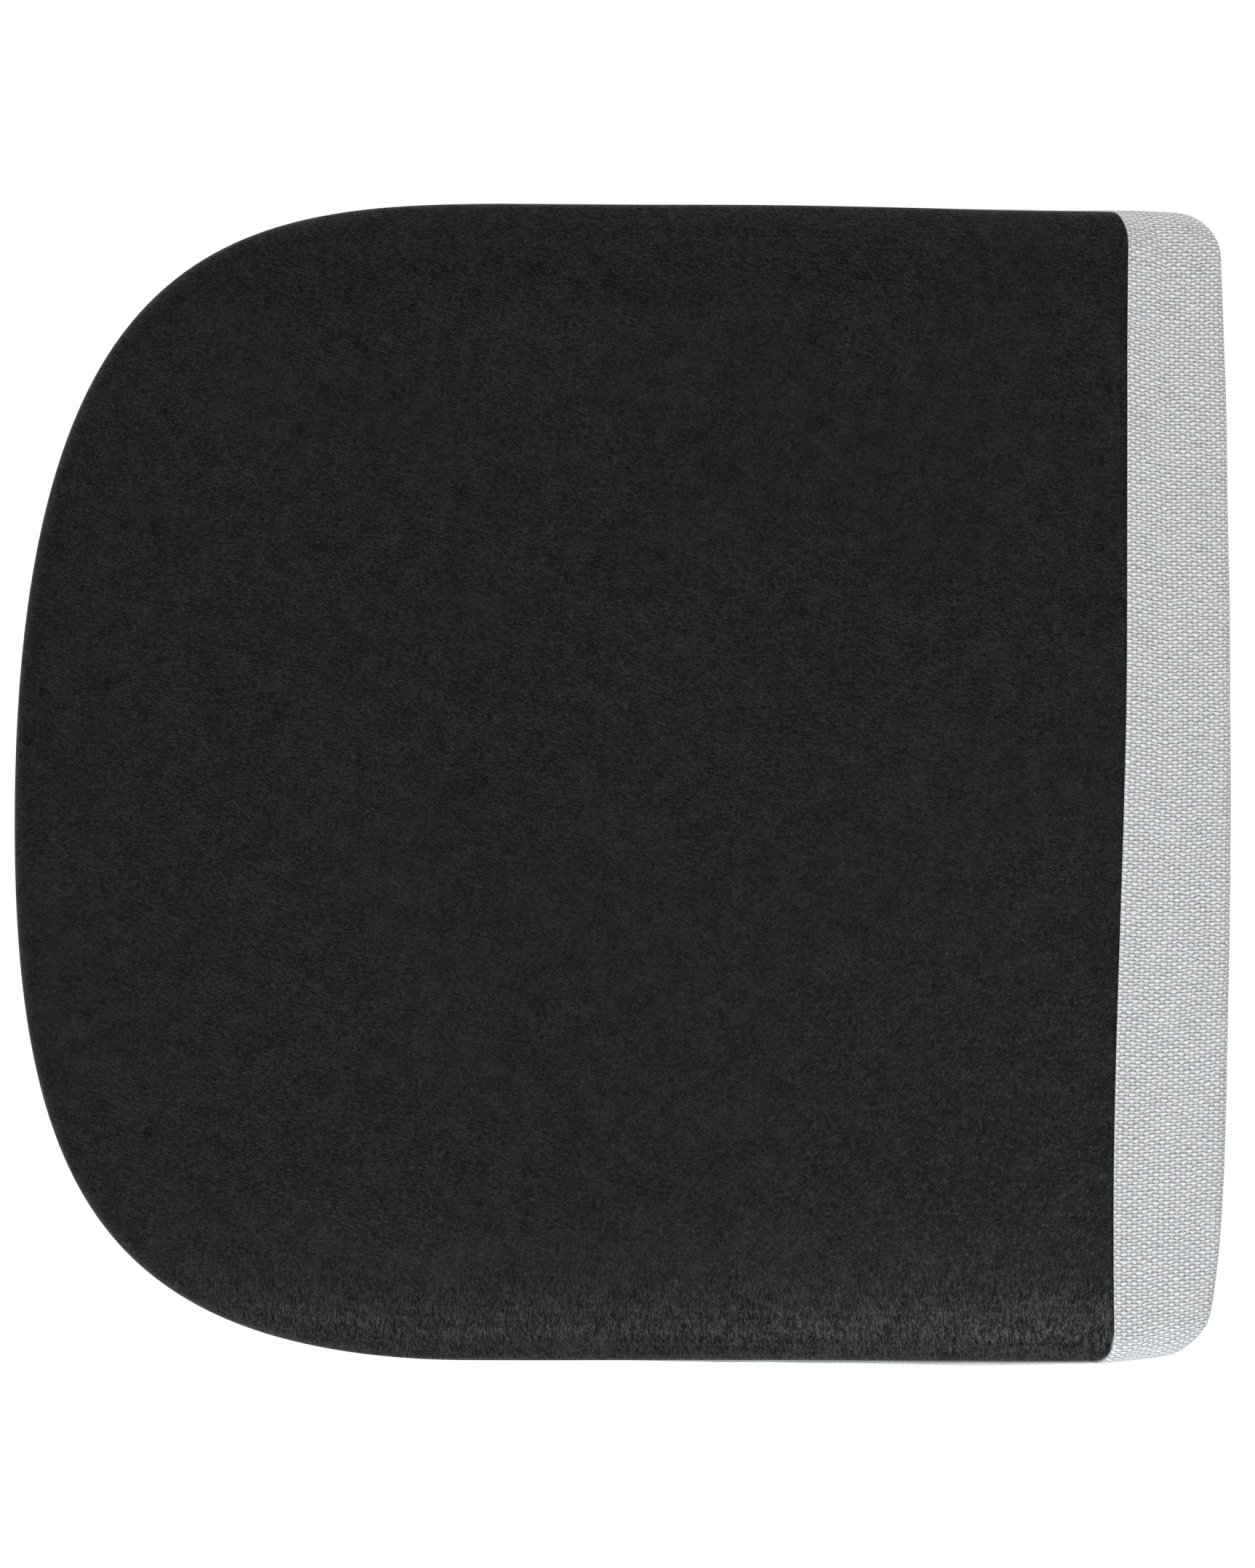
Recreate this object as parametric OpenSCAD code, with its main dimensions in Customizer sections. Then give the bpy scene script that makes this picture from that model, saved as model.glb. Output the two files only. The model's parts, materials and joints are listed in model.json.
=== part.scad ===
// Wall punch pad: a D-shaped upholstered striking pad that hangs on a pair of hook rails.
// The wall is the plane Y = 0, and the pad hangs on its -Y side with the striking face towards -Y.
// The origin is midway between the wall rail's two screw holes. All sizes are in millimetres.

/* [Pad outline] */
// Height of the pad
pad_h = 301.6; // [280:0.4:330]
// Length from the round end to the widest point of the leaning end
pad_len = 317; // [300:1:340]
// Thickness from the striking face to the back hem
pad_t = 50; // [48:1:56]
// How far the tip of the round end lies below the middle
tip_drop = 12; // [0:1:16]
// Length of the upper curve of the round end
nose_top = 128; // [110:2:136]
// Length of the lower curve of the round end
nose_low = 118; // [110:2:136]
// How much lower the top edge is at the straight end
top_fall = 2.8; // [0:0.1:3]
// How much higher the bottom edge is at the straight end
low_rise = 0.6; // [0:0.1:3]

/* [Rim and leaning end] */
// Radius of the rolled rim of the striking face
rim_r = 9.4; // [8:0.2:10]
// How far the leaning end reaches past the seam
lean_out = 24.6; // [20:0.2:26]
// Angle between the leaning end and the striking face
lean_angle = 52; // [50:1:58]
// Radius where the leaning end turns over at its widest point
turn_r = 8; // [7:0.5:9]
// How much the leaning end bows out at mid height
end_bow = 2.6; // [0:0.2:4]
// Upper corner radius of the leaning end
corner_top = 12; // [10:1:16]
// Lower corner radius of the leaning end
corner_low = 24; // [14:1:26]
// Corner radius of the black cover at the seam
seam_corner = 5; // [4:0.5:8]

/* [Layers] */
// Thickness of the striking cloth
face_t = 1.5; // [1:0.1:2]
// Thickness of the canvas
canvas_t = 1.2; // [0.8:0.1:1.4]
// Thickness of the wadding
wadding_t = 2.5; // [2:0.1:3]
// Depth from the striking face to the joint between the two foams
foam_joint = 22; // [18:1:25]
// Thickness of the backboard
board_t = 12; // [9:1:13]
// Thickness of the dust cover
dust_t = 0.8; // [0.6:0.1:1]
// Width of the canvas hem behind the board
hem_w = 22; // [18:1:24]

/* [Hook rails] */
// Length of both rails
rail_len = 190; // [180:5:195]
// Thickness of the rail metal
rail_t = 2.5; // [2:0.1:3]
// Clearance on each side of a hook
rail_gap = 0.25; // [0.2:0.05:0.4]
// Height of the hooks above the wall rail's web
hook_h = 13; // [11:1:15]
// Distance from the middle bolt to the outer ones, and from the middle to each wall screw hole
hole_pitch = 80; // [60:5:80]
// Radius of the wall screw holes
wall_hole_r = 2.6; // [2:0.1:3]
// Height of the pad's middle above the wall screw holes
pad_z = -55; // [-60:1:-45]

/* [Bumpers] */
// Radius of each rubber bumper
bumper_r = 11; // [9:1:14]
// Distance between the bumpers
bumper_pitch = 150; // [120:5:160]
// Height of the bumpers above the wall screw holes
bumper_z = -150; // [-155:1:-130]

/* [Hidden] */

fine = 48;                 // facets of round hardware
slack = 0.4;               // air between neighbouring soft layers
past = 1;                  // how far a cut runs past the surface that it opens
wall_slope = 0.12;         // how much the leaning end draws back behind its turn, per mm of depth
corner_depth = 12;         // depth at which the leaning end's corners reach their full radius
least_corner = 1.5;        // smallest corner radius of an inner layer
seam_stretch = 1.4;        // length of the black cover's lower seam corner over that of its upper one
under_rim = 0.3;           // how far the canvas lies inside the black cover's outline

// Depths are measured from the striking face towards the wall.
edge_turn = 2;             // how far the canvas rounds off where it turns behind the board
board_back = pad_t - canvas_t;
board_front = board_back - board_t;
rail_stack = 4 * rail_t + 3 * rail_gap;
face_y = -(rail_stack + dust_t + board_back);
wadding_off = face_t + slack;
foam_off = wadding_off + wadding_t + slack;

// Outline landmarks, seen from the front with X to the right and Z up
tip_x = -pad_len / 2;
end_x = pad_len / 2;
seam_x = end_x - lean_out;
strip_x = seam_x - 4;
turn_depth = (lean_out - turn_r * (1 - sin(lean_angle))) * tan(lean_angle) + turn_r * cos(lean_angle);
upper = [[tip_x, -tip_drop], [tip_x, pad_h / 2 - 2],
         [tip_x + 0.51 * nose_top, pad_h / 2], [tip_x + nose_top, pad_h / 2]];
lower = [[tip_x + nose_low, -pad_h / 2], [tip_x + 0.2 * nose_low, -pad_h / 2],
         [tip_x, -tip_drop - 0.67 * (pad_h / 2 - tip_drop)], [tip_x, -tip_drop]];

curve_steps = 20;
edge_steps = 6;
corner_steps = 6;

// ---- Outline and rings ----

function mix(a, b, w) = a + (b - a) * w;
function clamp01(v) = min(1, max(0, v));
function bezier(p, t) =
    pow(1 - t, 3) * p[0] + 3 * t * pow(1 - t, 2) * p[1] + 3 * t * t * (1 - t) * p[2] + pow(t, 3) * p[3];
function bezier_way(p, t) =
    pow(1 - t, 2) * (p[1] - p[0]) + 2 * t * (1 - t) * (p[2] - p[1]) + t * t * (p[3] - p[2]);
function outward(way) = [-way.y, way.x] / norm(way);
function top_at(x) = pad_h / 2 - top_fall * clamp01((x - upper[3].x) / (end_x - upper[3].x));
function low_at(x) = -pad_h / 2 + low_rise * clamp01((x - lower[0].x) / (end_x - lower[0].x));

// The inset changes from the round end's value to the straight end's over the right half.
function inset_at(x, nose_in, tail_in) = mix(nose_in, tail_in, clamp01((x + 10) / 110));

function curve_points(p, nose_in, tail_in) =
    [for (i = [0 : curve_steps - 1])
        let (t = i / curve_steps, at = bezier(p, t))
        at - outward(bezier_way(p, t)) * inset_at(at.x, nose_in, tail_in)];

// Corner points as [x, z drop, share of the way from the side to the end]
function corner_points(x, run, drop) =
    [for (i = [0 : corner_steps])
        let (a = 90 * i / corner_steps)
        [x - run * (1 - sin(a)), drop * (1 - cos(a)), sin(a)]];

// One closed ring [x, depth, z], clockwise from the tip of the round end as seen from the front.
// The sides lie at side_d and the straight end at end_d. The drops are the corners' heights.
function ring(nose_in, tail_in, side_d, x, end_d, run_top, run_low, drop_top, drop_low, bow) =
    let (
        top = top_at(x) - inset_at(x, nose_in, tail_in),
        low = low_at(x) + inset_at(x, nose_in, tail_in),
        x_top = x - run_top,
        x_low = x - run_low,
        a = top - drop_top,
        b = low + drop_low
    )
    concat(
        [for (p = curve_points(upper, nose_in, tail_in)) [p.x, side_d, p.y]],
        [for (i = [0 : edge_steps - 1])
            let (px = mix(upper[3].x, x_top, i / edge_steps))
            [px, side_d, top_at(px) - inset_at(px, nose_in, tail_in)]],
        [for (c = corner_points(x, run_top, drop_top)) [c.x, mix(side_d, end_d, c.z), top - c.y]],
        [for (i = [1 : edge_steps - 1])
            let (v = i / edge_steps)
            [x + bow * 4 * v * (1 - v), end_d, mix(a, b, v)]],
        [for (i = [0 : corner_steps])
            let (c = corner_points(x, run_low, drop_low)[corner_steps - i])
            [c.x, mix(side_d, end_d, c.z), low + c.y]],
        [for (i = [1 : edge_steps])
            let (px = mix(x_low, lower[0].x, i / (edge_steps + 1)))
            [px, side_d, low_at(px) + inset_at(px, nose_in, tail_in)]],
        [for (p = curve_points(lower, nose_in, tail_in)) [p.x, side_d, p.y]]
    );

// ---- The padded body's outer surface, moved inwards by off ----

function side_inset(d, off) = d < rim_r ? rim_r - sqrt(pow(rim_r - off, 2) - pow(rim_r - d, 2)) : off;
function lean_x(d, off) = seam_x + d / tan(lean_angle) - off / sin(lean_angle);
function turn_x(d, off) = end_x - turn_r + sqrt(max(0, pow(turn_r - off, 2) - pow(d - turn_depth, 2)));
function wall_x(d, off) = end_x - off - wall_slope * max(0, d - turn_depth);
function end_at(d, off) =
    d < turn_depth - (turn_r - off) * cos(lean_angle) ? lean_x(d, off)
    : d < turn_depth ? turn_x(d, off)
    : wall_x(d, off);
function bow_at(d) = end_bow * clamp01(d / turn_depth);
function corner_at(d, full, off) =
    max(least_corner, mix(seam_corner, full, clamp01(d / corner_depth)) - off);

function body_ring(d, off) =
    let (inset = side_inset(d, off), rt = corner_at(d, corner_top, off), rl = corner_at(d, corner_low, off))
    ring(inset, inset, d, end_at(d, off) - bow_at(d), d, rt, rl, rt, rl, bow_at(d));

// How much of a corner of radius r is left where it is cut off before its end: [run, drop].
// It drops further than the arc does, so that the foam stays clear of the wadding round it.
least_cut = 1;
extra_drop = 1.6;
function cut_corner(r, beyond) =
    let (run = r - beyond)
    run <= least_cut
        ? [least_cut, least_cut]
        : [run, least_cut + extra_drop * (r - sqrt(r * r - run * run))];

// A body ring that is cut off at x, inside the leaning end
function cut_ring(d, off, x) =
    let (
        inset = side_inset(d, off),
        beyond = end_at(d, off) - bow_at(d) - x,
        top = cut_corner(corner_at(d, corner_top, off), beyond),
        low = cut_corner(corner_at(d, corner_low, off), beyond)
    )
    ring(inset, inset, d, x, d, top[0], low[0], top[1], low[1], 0);

// ---- Solids from rings ----

function reversed(list) = [for (i = [len(list) - 1 : -1 : 0]) list[i]];
function band(a, b, n) =
    [for (i = [0 : n - 1])
        let (j = (i + 1) % n)
        each [[a * n + i, b * n + i, b * n + j], [a * n + i, b * n + j, a * n + j]]];

// Stacked rings, closed by a cap at each end
module loft(rings) {
    n = len(rings[0]);
    last = len(rings) - 1;
    polyhedron(
        points = [for (r = rings) each r],
        faces = concat(
            [[for (i = [0 : n - 1]) i]],
            [for (k = [0 : last - 1]) each band(k, k + 1, n)],
            [[for (i = [n - 1 : -1 : 0]) last * n + i]]));
}

// Rings that go round a closed section, as a hem or a gusset does
module loop_loft(rings) {
    n = len(rings[0]);
    count = len(rings);
    polyhedron(
        points = [for (r = rings) each r],
        faces = [for (k = [0 : count - 1]) each band(k, (k + 1) % count, n)]);
}

// Puts depth 0 on the striking face and Z = 0 at the pad's middle
module pad_frame() {
    translate([0, face_y, pad_z]) children();
}

// A flat piece between two depths, from a 2D outline in X and Z
module slab(d0, d1) {
    translate([0, d1, 0]) rotate([90, 0, 0]) linear_extrude(height = d1 - d0) children();
}

module outline(inset) {
    polygon([for (p = body_ring(pad_t, inset)) [p.x, p.z]]);
}

// A round bar or bore along Y between two Y values
module round_y(x, z, r, y0, y1) {
    translate([x, y1, z]) rotate([90, 0, 0]) cylinder(r = r, h = y1 - y0, $fn = fine);
}

// ---- Hook rails and their fixings ----

web_top = 12;                          // top of the wall rail's web, above its screw holes
seat_z = web_top + hook_h;             // where the pad rail's web rests on the wall rail's hook
plate_h = 26;                          // height of the pad rail's plate
bolt_z = seat_z + rail_t + 12;         // height of the bolts
lead = 0.8;                            // bevel that guides the hooks together
hook_in = -(2 * rail_t + 2 * rail_gap);
plate_y = -(rail_stack - rail_t);
hole_xs = [-hole_pitch, 0, hole_pitch];
wall_hole_xs = [-hole_pitch, hole_pitch];

// Extrudes a section drawn in Y and Z along the rails' length
module rail_bar() {
    translate([-rail_len / 2, 0, 0]) rotate([90, 0, 90]) linear_extrude(height = rail_len) children();
}

module wall_rail() {
    color("silver")
    difference() {
        rail_bar()
            polygon([[0, -web_top], [0, web_top], [hook_in, web_top], [hook_in, seat_z - lead],
                     [hook_in - lead, seat_z], [hook_in - rail_t, seat_z],
                     [hook_in - rail_t, web_top - rail_t], [-rail_t, web_top - rail_t], [-rail_t, -web_top]]);
        for (x = wall_hole_xs)
            round_y(x, 0, wall_hole_r, -rail_t - past, past);
    }
}

module pad_rail() {
    hook_out = -(rail_t + rail_gap);
    tip_z = web_top + 0.6;
    color("silver")
    difference() {
        rail_bar()
            polygon([[-rail_stack, seat_z], [-rail_stack, seat_z + plate_h], [plate_y, seat_z + plate_h],
                     [plate_y, seat_z + rail_t], [hook_out, seat_z + rail_t], [hook_out, tip_z],
                     [hook_out - rail_t + lead, tip_z], [hook_out - rail_t, tip_z + lead],
                     [hook_out - rail_t, seat_z]]);
        for (x = hole_xs)
            round_y(x, bolt_z, bolt_r + 0.2, -rail_stack - past, plate_y + past);
    }
}

washer_t = 1;
module rail_washers() {
    washer_r = 5.2;
    color("gainsboro")
    for (x = hole_xs)
        difference() {
            round_y(x, bolt_z, washer_r, plate_y, plate_y + washer_t);
            round_y(x, bolt_z, bolt_r + 0.15, plate_y - past, plate_y + washer_t + past);
        }
}

bolt_r = 2.5;
bolt_len = 16;
head_y = plate_y + washer_t;
module rail_bolts() {
    head_h = 3;
    head_r = 4.7;
    socket_r = 1.75;
    socket_h = 2;
    color("dimgray")
    for (x = hole_xs)
        difference() {
            union() {
                round_y(x, bolt_z, bolt_r, head_y - bolt_len, head_y);
                round_y(x, bolt_z, head_r, head_y, head_y + head_h);
            }
            translate([x, head_y + head_h + past, bolt_z])
                rotate([90, 0, 0]) cylinder(r = socket_r, h = socket_h + past, $fn = 6);
        }
}

flange_r = 9;
flange_t = 1.2;
barrel_r = 3.9;
tee_y = face_y + board_front;
module tee_nuts() {
    barrel_h = 9;
    prong_at = 7;
    prong_len = 6;
    color("darkgray")
    for (x = hole_xs)
        difference() {
            union() {
                round_y(x, bolt_z, flange_r, tee_y, tee_y + flange_t);
                round_y(x, bolt_z, barrel_r, tee_y, tee_y + barrel_h);
                for (a = [45 : 90 : 315])
                    translate([x + prong_at * cos(a), tee_y, bolt_z + prong_at * sin(a)])
                        rotate([0, -a, 0]) translate([-0.5, 0, -1]) cube([1, prong_len, 2]);
            }
            round_y(x, bolt_z, bolt_r + 0.05, tee_y - past, tee_y + barrel_h + past);
        }
}

// ---- Bumpers ----

bumper_xs = [-bumper_pitch / 2, bumper_pitch / 2];
seat_y = -5.5;                         // floor of the bumper's screw recess
recess_r = 4.8;
screw_r = 2;
screw_len = 14;

module bumpers() {
    color([0.12, 0.12, 0.12])
    for (x = bumper_xs)
        difference() {
            translate([x, 0, bumper_z])
                rotate([90, 0, 0]) cylinder(r1 = bumper_r - 1, r2 = bumper_r, h = rail_stack, $fn = fine);
            round_y(x, bumper_z, recess_r, seat_y, past);
            round_y(x, bumper_z, screw_r + 0.2, -rail_stack - past, seat_y + past);
        }
}

module bumper_screws() {
    head_r = 4;
    head_h = 2.4;
    slot_w = 1;
    point_len = 3;
    point_r = 0.2;
    color("silver")
    for (x = bumper_xs)
        difference() {
            union() {
                round_y(x, bumper_z, head_r, seat_y, seat_y + head_h);
                round_y(x, bumper_z, screw_r, seat_y - screw_len + point_len, seat_y);
                translate([x, seat_y - screw_len + point_len, bumper_z])
                    rotate([90, 0, 0]) cylinder(r1 = screw_r, r2 = point_r, h = point_len, $fn = fine);
            }
            for (a = [0, 90])
                translate([x, seat_y + head_h, bumper_z])
                    rotate([0, a, 0]) cube([head_r + 1, head_h, slot_w], center = true);
        }
}

// ---- Board and foams ----

module backboard() {
    board_y = face_y + board_back;
    color("burlywood")
    difference() {
        pad_frame() slab(board_front, board_back) outline(edge_turn + canvas_t + slack / 2);
        for (x = hole_xs) {
            round_y(x, bolt_z, barrel_r + 0.1, tee_y - 1, board_y + 1);
            round_y(x, bolt_z, flange_r + 0.1, tee_y - 1, tee_y + flange_t + 0.1);
        }
        for (x = bumper_xs)
            round_y(x, bumper_z, screw_r + 0.05, seat_y - screw_len - 0.5, board_y + 1);
    }
}

module base_foam() {
    color([0.35, 0.36, 0.38])
    pad_frame()
        loft([for (d = [foam_joint + 0.2, board_front - 0.2]) cut_ring(d, foam_off, strip_x)]);
}

module core_foam() {
    depths = [foam_off, foam_off + 0.4, foam_off + 1.2, foam_off + 2.6, rim_r, foam_joint];
    color([0.93, 0.88, 0.7])
    pad_frame() loft([for (d = depths) cut_ring(d, foam_off, strip_x)]);
}

// The part of a corner of radius r that lies beyond the strip's straight side, as [x, drop]
function strip_corner(x, r) =
    let (a0 = asin(clamp01(1 - (x - strip_x - slack) / r)))
    [for (i = [0 : corner_steps])
        let (a = mix(a0, 90, i / corner_steps))
        [x - r * (1 - sin(a)), r * (1 - cos(a))]];

// Where the strip's straight side ends: level with the edge, or just inside a corner that is cut
function side_drop(corner) = corner[0].y > 0 ? corner[0].y + 1 : 0;

// One section of the strip, across the pad at one depth
function strip_ring(d) =
    let (
        off = foam_off,
        x = end_at(d, off) - bow_at(d),
        top = top_at(x) - side_inset(d, off),
        low = low_at(x) + side_inset(d, off),
        rt = corner_at(d, corner_top, off),
        rl = corner_at(d, corner_low, off),
        upper_corner = strip_corner(x, rt),
        lower_corner = strip_corner(x, rl)
    )
    concat(
        [for (c = upper_corner) [c.x, d, top - c.y]],
        [for (i = [1 : edge_steps - 1])
            let (v = i / edge_steps)
            [x + bow_at(d) * 4 * v * (1 - v), d, mix(top - rt, low + rl, v)]],
        reversed([for (c = lower_corner) [c.x, d, low + c.y]]),
        [[strip_x + slack, d, low + side_drop(lower_corner)],
         [strip_x + slack, d, top - side_drop(upper_corner)]]);

module bevel_strip() {
    depths = [8, rim_r, 14, 20, turn_depth - 3, turn_depth, board_front - 0.2];
    color([0.25, 0.26, 0.28])
    pad_frame() loft([for (d = depths) strip_ring(d)]);
}

module wadding() {
    skirt = [rim_r, 14, 20, turn_depth - 4, turn_depth - 2, turn_depth, board_front - 0.2];
    outer = concat([for (s = [0, 0.3, 1, 2.2, 4]) wadding_off + s], skirt);
    inner_off = wadding_off + wadding_t;
    inner = concat([for (s = [0, 0.3, 1, 2.2]) inner_off + s], skirt);
    color("whitesmoke")
    pad_frame()
        loft(concat([for (d = outer) body_ring(d, wadding_off)],
                    reversed([for (d = inner) body_ring(d, inner_off)])));
}

// ---- Covers ----

// A ring of the black cover: it lies on the rim at angle a, and is flat at the seam
function cover_ring(a, off) =
    let (r = rim_r - off, inset = rim_r - r * sin(a), reach = max(1, r * sin(a)))
    ring(inset, inset, rim_r - r * cos(a), seam_x - 4 * (1 - a / 90), off,
         seam_corner, seam_stretch * seam_corner, reach, reach, 0);

module face_cover() {
    angles = [for (a = [0 : 15 : 90]) a];
    color([0.13, 0.13, 0.13])
    pad_frame()
        loft(concat([for (a = angles) cover_ring(a, 0)],
                    reversed([for (a = angles) cover_ring(a, face_t)])));
}

// How far the canvas stands inside (+) or outside (-) the outline at a depth
function canvas_inset(d, belly) =
    under_rim - belly * sin(180 * clamp01((d - rim_r) / (pad_t - rim_r)));

// The part of the canvas at the seam: its sides lie under the black rim and its end at the face
function canvas_front(off) =
    ring(under_rim + off, under_rim + off, rim_r + 0.9, seam_x + 0.2, off,
         seam_corner, seam_stretch * seam_corner, rim_r - off, rim_r - off, 0);

function canvas_ring(side_d, end_d, off) =
    let (
        rt = corner_at(end_d, corner_top, off),
        rl = corner_at(end_d, corner_low, off),
        short = max(0, rim_r - end_d) * 0.35
    )
    ring(canvas_inset(side_d, 0.2) + off, canvas_inset(side_d, 1.1) + off, side_d,
         end_at(end_d, off) - bow_at(end_d), end_d,
         rt, rl, rt + short, rl + short, bow_at(end_d));

function hem_ring(d, inset) =
    let (rt = max(4, corner_top - inset), rl = max(4, corner_low - inset))
    ring(inset, inset, d, wall_x(pad_t, inset) - end_bow, d, rt, rl, rt, rl, end_bow);

module gusset_cover() {
    wall = [[rim_r + 2, 3], [rim_r + 4, 8], [rim_r + 7, 14], [rim_r + 10, 20], [26, 27],
            [30, 30], [turn_depth + 2, turn_depth], [40, 40], [pad_t - edge_turn, pad_t - edge_turn]];
    color([0.76, 0.77, 0.77])
    pad_frame()
        loop_loft(concat(
            [canvas_front(0)],
            [for (w = wall) canvas_ring(w[0], w[1], 0)],
            [hem_ring(pad_t, edge_turn), hem_ring(pad_t, hem_w), hem_ring(pad_t - canvas_t, hem_w)],
            [hem_ring(pad_t - canvas_t, edge_turn + canvas_t)],
            reversed([for (w = wall) canvas_ring(w[0], w[1], canvas_t)]),
            [canvas_front(canvas_t + slack)]));
}

dust_in = 9;                           // bare canvas left around the dust cover
dust_over = pad_t + 0.05;              // where the dust cover lies on the hem

// A flat ring at depth d
function flat_ring(inset, d) = [for (p = body_ring(pad_t, inset)) [p.x, d, p.z]];

module dust_cover() {
    step_in = hem_w + 0.8;
    board_y = face_y + board_back;
    color([0.1, 0.1, 0.1])
    difference() {
        pad_frame()
            loft([flat_ring(step_in, board_back), flat_ring(step_in, dust_over), flat_ring(dust_in, dust_over),
                  flat_ring(dust_in, dust_over + dust_t), flat_ring(step_in + dust_t, dust_over + dust_t),
                  flat_ring(step_in + dust_t, board_back + dust_t)]);
        for (x = hole_xs)
            round_y(x, bolt_z, bolt_r + 0.25, board_y - past, board_y + 2 * past);
        for (x = bumper_xs)
            round_y(x, bumper_z, screw_r + 0.3, board_y - past, board_y + 2 * past);
    }
}

// ---- Staples ----

// Staple places [x, z, slope] round the back, a set distance in from the outline
function curve_stations(p, inset, count, shift) =
    [for (i = [0 : count - 1])
        let (t = (i + shift) / count, way = bezier_way(p, t), at = bezier(p, t) - outward(way) * inset)
        [at.x, at.y, atan2(way.y, way.x)]];
function stations(inset, shift) =
    let (
        x_last = end_x - end_bow - 2 - inset - 8,
        z_last = pad_h / 2 - inset - 14,
        share = [for (i = [0 : 4]) (i + shift) / 5]
    )
    concat(
        curve_stations(upper, inset, 7, shift),
        [for (s = share) [mix(upper[3].x, x_last, s), top_at(0) - inset - 1, 0]],
        [for (s = share) [end_x - 4 - inset, mix(z_last, -z_last, s), 90]],
        [for (s = share) [mix(x_last, lower[0].x, s), low_at(0) + inset, 0]],
        curve_stations(lower, inset, 7, shift));

module staple(leg) {
    crown = 10;
    wire = 0.6;
    wide = 1.2;
    translate([-crown / 2, -wire, -wide / 2]) cube([crown, wire, wide]);
    for (x = [-crown / 2, crown / 2 - wire])
        translate([x, -leg, -wide / 2]) cube([wire, leg, wide]);
}

// Staples whose crowns are level with depth d
module staple_row(inset, shift, d) {
    for (s = stations(inset, shift))
        pad_frame() translate([s[0], d, s[1]]) rotate([0, -s[2], 0]) staple(8);
}

module cover_staples() {
    color("silver") staple_row(18, 0.15, pad_t);
}

module dust_cover_staples() {
    color("silver") staple_row(13, 0.6, dust_over + dust_t + 0.2);
}

wall_rail();
pad_rail();
rail_washers();
rail_bolts();
tee_nuts();
bumpers();
bumper_screws();
backboard();
base_foam();
core_foam();
bevel_strip();
wadding();
face_cover();
gusset_cover();
cover_staples();
dust_cover();
dust_cover_staples();
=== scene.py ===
"""Looks of the wall punch pad: a black fibre face, a canvas gusset, and hook rails behind.

Everything is in metres, in the CAD frame: +Z up, -Y out of the wall, +X towards the leaning end.
"""
import json
import math

import bpy
import numpy as np
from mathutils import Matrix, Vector


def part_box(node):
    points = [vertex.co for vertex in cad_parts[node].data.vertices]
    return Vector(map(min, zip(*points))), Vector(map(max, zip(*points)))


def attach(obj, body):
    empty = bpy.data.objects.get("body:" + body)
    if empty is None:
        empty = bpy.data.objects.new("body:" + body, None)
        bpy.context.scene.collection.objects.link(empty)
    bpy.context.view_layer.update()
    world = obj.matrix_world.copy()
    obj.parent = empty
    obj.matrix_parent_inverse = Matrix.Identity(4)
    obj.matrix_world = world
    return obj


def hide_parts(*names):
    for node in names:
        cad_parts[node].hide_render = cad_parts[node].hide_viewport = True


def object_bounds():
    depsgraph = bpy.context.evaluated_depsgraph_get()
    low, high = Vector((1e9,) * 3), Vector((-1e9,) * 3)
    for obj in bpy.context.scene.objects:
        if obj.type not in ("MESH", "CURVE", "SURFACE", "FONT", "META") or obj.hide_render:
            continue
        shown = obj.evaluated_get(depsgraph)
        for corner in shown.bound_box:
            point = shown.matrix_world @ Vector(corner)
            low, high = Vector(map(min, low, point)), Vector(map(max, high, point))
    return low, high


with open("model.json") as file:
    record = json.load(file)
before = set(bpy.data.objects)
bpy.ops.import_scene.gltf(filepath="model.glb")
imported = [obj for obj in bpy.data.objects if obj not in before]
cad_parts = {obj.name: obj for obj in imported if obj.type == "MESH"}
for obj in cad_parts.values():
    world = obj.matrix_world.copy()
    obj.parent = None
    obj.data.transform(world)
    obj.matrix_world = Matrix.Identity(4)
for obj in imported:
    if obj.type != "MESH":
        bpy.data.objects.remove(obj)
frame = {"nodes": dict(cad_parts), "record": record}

first_lo, first_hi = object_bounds()

# ---- Sizes, taken from the CAD boxes ----

MM = 0.001
face_lo, face_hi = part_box("face_cover")
gusset_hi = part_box("gusset_cover")[1]
core_lo, core_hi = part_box("core_foam")
base_lo, base_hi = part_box("base_foam")
strip_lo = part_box("bevel_strip")[0]

FACE_Y = face_lo[1]
PAD_Z = (face_lo[2] + face_hi[2]) / 2
PAD_H = face_hi[2] - face_lo[2]
TIP_X = face_lo[0]
SEAM_X = face_hi[0]
END_X = gusset_hi[0]
RIM_R = face_hi[1] - FACE_Y
PAD_T = gusset_hi[1] - FACE_Y
LEAN_OUT = END_X - SEAM_X
STRIP_X = core_hi[0]

# ---- Shape of the pad, as the CAD draws it ----

TIP_DROP = 12 * MM
NOSE_TOP = 128 * MM
NOSE_LOW = 118 * MM
TOP_FALL = 2.8 * MM
LOW_RISE = 0.6 * MM
LEAN_ANGLE = math.radians(52)
TURN_R = 8 * MM
END_BOW = 2.6 * MM
CORNER_TOP = 12 * MM
CORNER_LOW = 10 * MM       # before settle() draws the corner in
SEAM_CORNER = 5 * MM
SEAM_STRETCH = 1.4         # length of the black cover's lower seam corner over that of its upper one
CORNER_DEPTH = 12 * MM     # depth at which the leaning end's corners reach their full radius
LEAST_CORNER = 1.5 * MM    # smallest corner radius of an inner layer
WALL_SLOPE = 0.12          # how much the leaning end draws back behind its turn, for its depth
LEAST_CUT = 1 * MM         # what is left at least of a foam corner that is cut off
EXTRA_DROP = 1.6           # how much further a cut corner drops than its arc
UNDER_RIM = 0.3 * MM       # how far the canvas lies inside the black cover's outline
SEAM_SINK = 0.5 * MM       # how far behind the black cover the canvas starts at the seam
FACE_T = 1.5 * MM
CANVAS_T = 1.2 * MM
HEM_W = 22 * MM
HEM_TURN = 2 * MM          # radius where the canvas turns behind the board
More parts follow.
